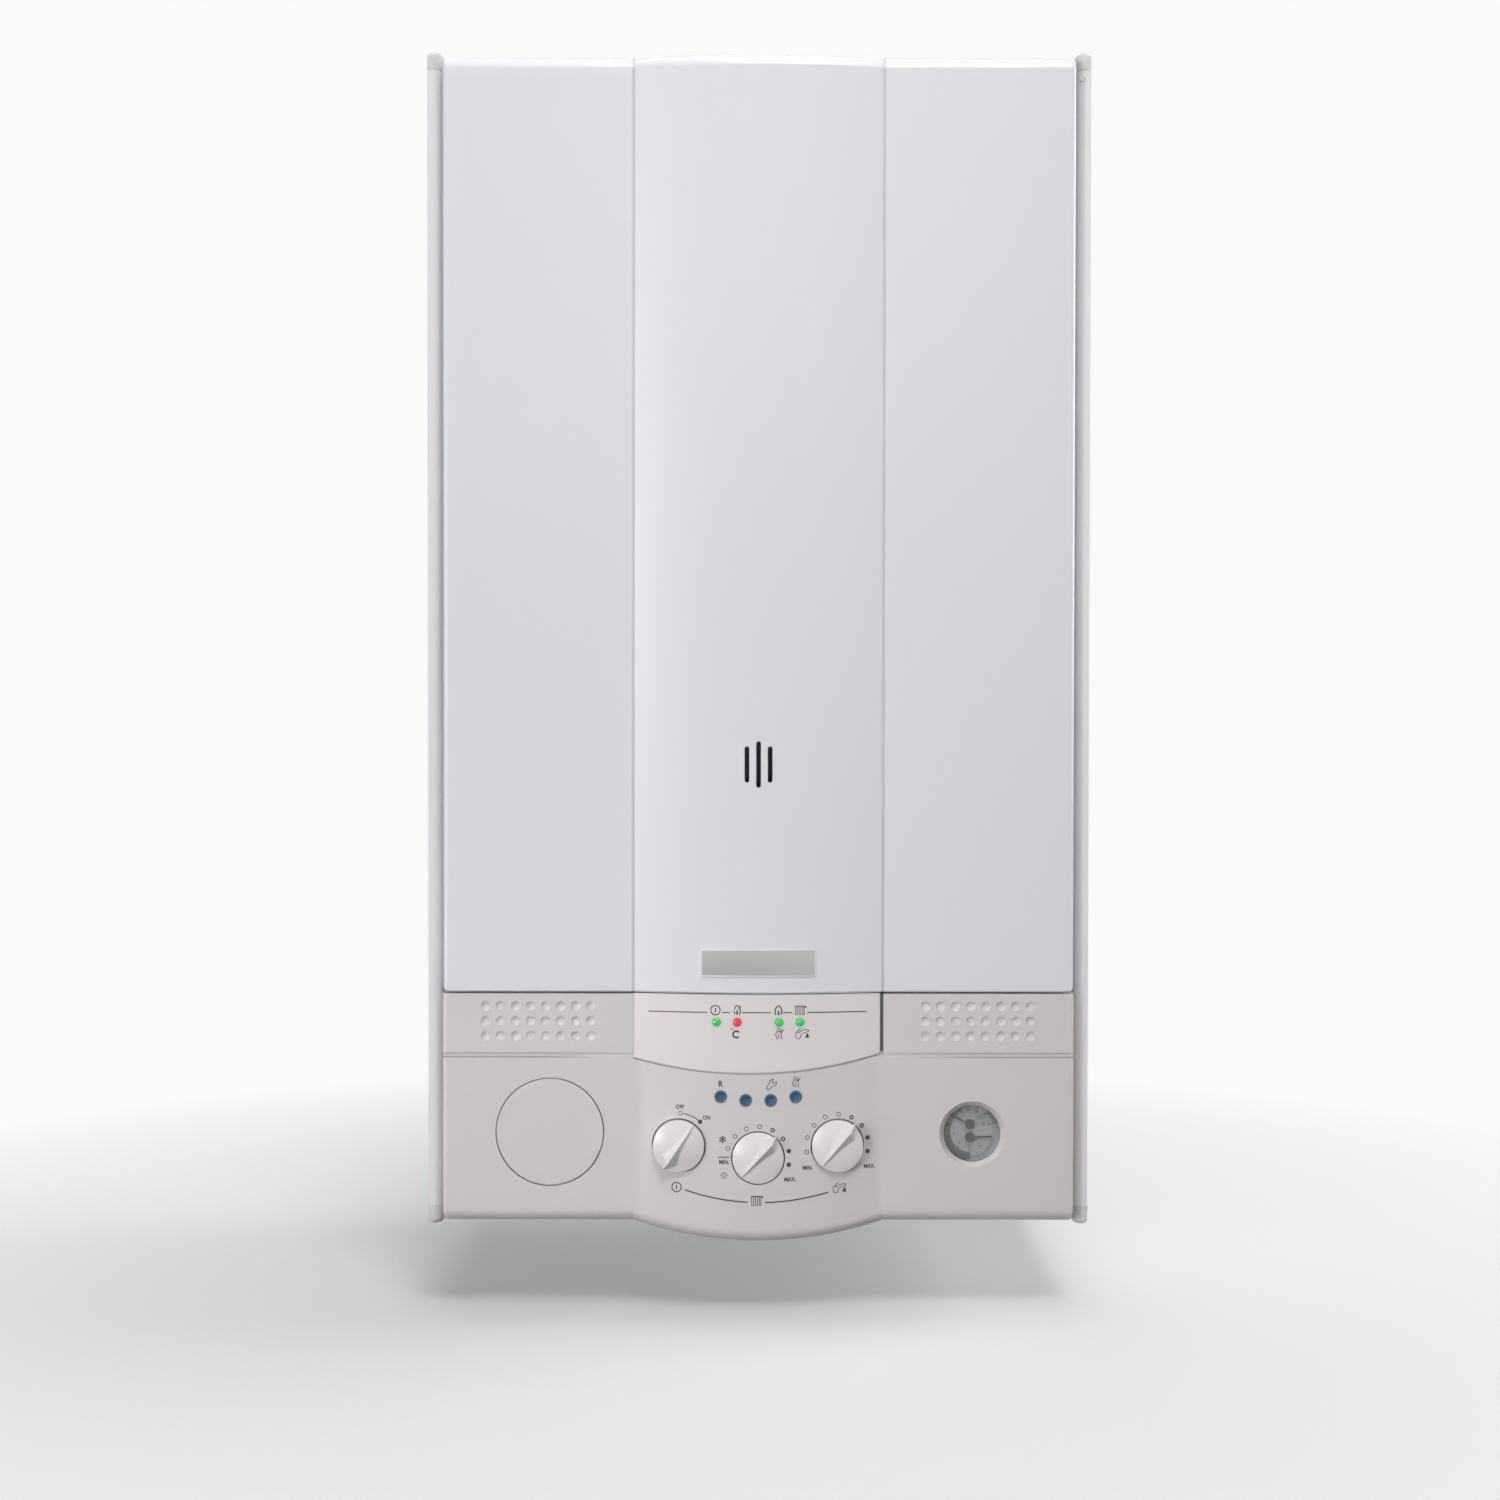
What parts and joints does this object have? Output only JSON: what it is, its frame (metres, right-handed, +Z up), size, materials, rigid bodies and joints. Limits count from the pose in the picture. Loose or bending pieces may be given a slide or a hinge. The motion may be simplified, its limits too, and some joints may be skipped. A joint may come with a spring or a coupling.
{
  "type": "wall-hung combi boiler",
  "caption": "Wall-hung room-sealed combi boiler: bowed enamelled front, tilting control panel with knobs, buttons, lamps and gauge, sealed burner chamber, fan and hydraulics.",
  "frame": {"origin": "centre of the two wall bolt holes on the wall's face", "axes": "+Z up, -Y towards the user, +X to the user's right"},
  "size_m": [0.4108, 0.3196, 0.766],
  "materials": {
    "galvanised": "galvanised sheet",
    "white_enamel": "satin white enamel",
    "cap_plastic": "fine matt",
    "zinc_steel": "zinc plated",
    "chamber_steel": "aluminised sheet",
    "seal": "silicone",
    "glass_clear": "clear",
    "aluminium_cast": "cast",
    "motor_black": "matt",
    "impeller_steel": "pressed",
    "copper": "bare copper",
    "fibre": "ceramic fibre board",
    "stainless": "brushed",
    "ceramic_white": "glazed ceramic",
    "vessel_red": "gloss red",
    "composite_grey": "glass-filled",
    "pump_grey": "painted casting",
    "brass_body": "bare brass",
    "valve_alloy": "die cast",
    "red_knob": "moulded",
    "blue_tap": "moulded",
    "gland_black": "moulded",
    "badge_metal": "brushed, bare",
    "fascia_plastic": "fine matt",
    "strip_plastic": "satin",
    "lamp_green": "clear moulded",
    "box_grey": "matt",
    "board_green": "glass-fibre laminate",
    "gauge_black": "matt",
    "needle_black": "matt",
    "knob_plastic": "satin",
    "button_blue": "moulded"
  },
  "bodies": {
    "casing": {"wall_bracket": "zinc_steel", "back_frame": "galvanised", "side_panel_left": "white_enamel", "side_panel_right": "white_enamel", "corner_caps": "cap_plastic", "top_plate": "white_enamel", "bottom_tray": "galvanised", "casing_screws": "zinc_steel", "fascia_pivots": "zinc_steel", "chamber_shell": "chamber_steel", "chamber_gasket": "seal", "chamber_cover": "chamber_steel", "sight_glass": "glass_clear", "flue_collar": "aluminium_cast", "flue_hood": "chamber_steel", "fan_housing": "aluminium_cast", "fan_motor": "motor_black", "heat_exchanger": "copper", "combustion_chamber": "chamber_steel", "insulation_boards": "fibre", "burner": "stainless", "gas_manifold": "valve_alloy", "electrodes": "ceramic_white", "expansion_vessel": "vessel_red", "pump_body": "composite_grey", "pump_motor": "pump_grey", "diverter_valve": "brass_body", "diverter_motor": "motor_black", "plate_exchanger": "stainless", "exchanger_pipes": "copper", "gas_valve": "valve_alloy", "gas_pipes": "copper", "pipe_stubs": "copper", "relief_valve": "brass_body", "filling_valve": "brass_body", "mains_gland": "gland_black"},
    "front_cover": {"front_cover": "white_enamel", "badge_plate": "badge_metal", "cover_studs": "zinc_steel"},
    "control_panel": {"fascia": "fascia_plastic", "display_strip": "strip_plastic", "timer_cap": "fascia_plastic", "lamp_lenses": "lamp_green", "control_box": "box_grey", "circuit_board": "board_green", "gauge_body": "gauge_black", "gauge_glass": "glass_clear"},
    "function_knob": {"function_knob": "knob_plastic"},
    "heating_knob": {"heating_knob": "knob_plastic"},
    "hot_water_knob": {"hot_water_knob": "knob_plastic"},
    "reset_button": {"reset_button": "button_blue"},
    "mode_button": {"mode_button": "button_blue"},
    "service_button": {"service_button": "button_blue"},
    "sweep_button": {"sweep_button": "button_blue"},
    "temperature_needle": {"temperature_needle": "needle_black"},
    "pressure_needle": {"pressure_needle": "needle_black"},
    "fan_impeller": {"fan_impeller": "impeller_steel"},
    "pump_impeller": {"pump_impeller": "composite_grey"},
    "relief_knob": {"relief_knob": "red_knob"},
    "filling_tap": {"filling_tap": "blue_tap"}
  },
  "joints": [
    {"name": "cover_pull", "type": "slide", "parent": "casing", "child": "front_cover", "axis": [0, -1, 0], "range_m": [0, 0.25]},
    {"name": "panel_tilt", "type": "hinge", "parent": "casing", "child": "control_panel", "pos_m": [0, -0.262, -0.672], "axis": [1, 0, 0], "range_deg": [0, 90]},
    {"name": "function_turn", "type": "hinge", "parent": "control_panel", "child": "function_knob", "pos_m": [-0.0489, -0.3, -0.6398], "axis": [0, 1, 0], "range_deg": [-32.2, 6.7]},
    {"name": "heating_turn", "type": "hinge", "parent": "control_panel", "child": "heating_knob", "pos_m": [0, -0.3, -0.6471], "axis": [0, 1, 0], "range_deg": [-158, 61.5]},
    {"name": "hot_water_turn", "type": "hinge", "parent": "control_panel", "child": "hot_water_knob", "pos_m": [0.0489, -0.3, -0.6398], "axis": [0, 1, 0], "range_deg": [-139.3, 64.5]},
    {"name": "temperature_turn", "type": "hinge", "parent": "control_panel", "child": "temperature_needle", "pos_m": [0.1316, -0.291, -0.629], "axis": [0, 1, 0], "range_deg": [-25.6, 154.4]},
    {"name": "pressure_turn", "type": "hinge", "parent": "control_panel", "child": "pressure_needle", "pos_m": [0.1316, -0.291, -0.6373], "axis": [0, 1, 0], "range_deg": [0, 182.3]},
    {"name": "fan_spin", "type": "hinge", "parent": "casing", "child": "fan_impeller", "pos_m": [-0.03, -0.15, -0.08], "axis": [0, 1, 0], "continuous": true},
    {"name": "pump_spin", "type": "hinge", "parent": "casing", "child": "pump_impeller", "pos_m": [0.13, -0.11, -0.565], "axis": [0, 1, 0], "continuous": true},
    {"name": "relief_turn", "type": "hinge", "parent": "casing", "child": "relief_knob", "pos_m": [0.152, -0.195, -0.624], "axis": [0, 1, 0], "range_deg": [-90, 0]},
    {"name": "filling_turn", "type": "hinge", "parent": "casing", "child": "filling_tap", "pos_m": [0.104, -0.15, -0.692], "axis": [0, 0, 1], "range_deg": [0, 180]},
    {"name": "reset_press", "type": "slide", "parent": "control_panel", "child": "reset_button", "axis": [0, 1, 0], "range_m": [0, 0.0015], "stiffness_N_per_m": 800, "springref_m": -0.001},
    {"name": "mode_press", "type": "slide", "parent": "control_panel", "child": "mode_button", "axis": [0, 1, 0], "range_m": [0, 0.0015], "stiffness_N_per_m": 800, "springref_m": -0.001},
    {"name": "service_press", "type": "slide", "parent": "control_panel", "child": "service_button", "axis": [0, 1, 0], "range_m": [0, 0.0015], "stiffness_N_per_m": 800, "springref_m": -0.001},
    {"name": "sweep_press", "type": "slide", "parent": "control_panel", "child": "sweep_button", "axis": [0, 1, 0], "range_m": [0, 0.0015], "stiffness_N_per_m": 800, "springref_m": -0.001}
  ]
}
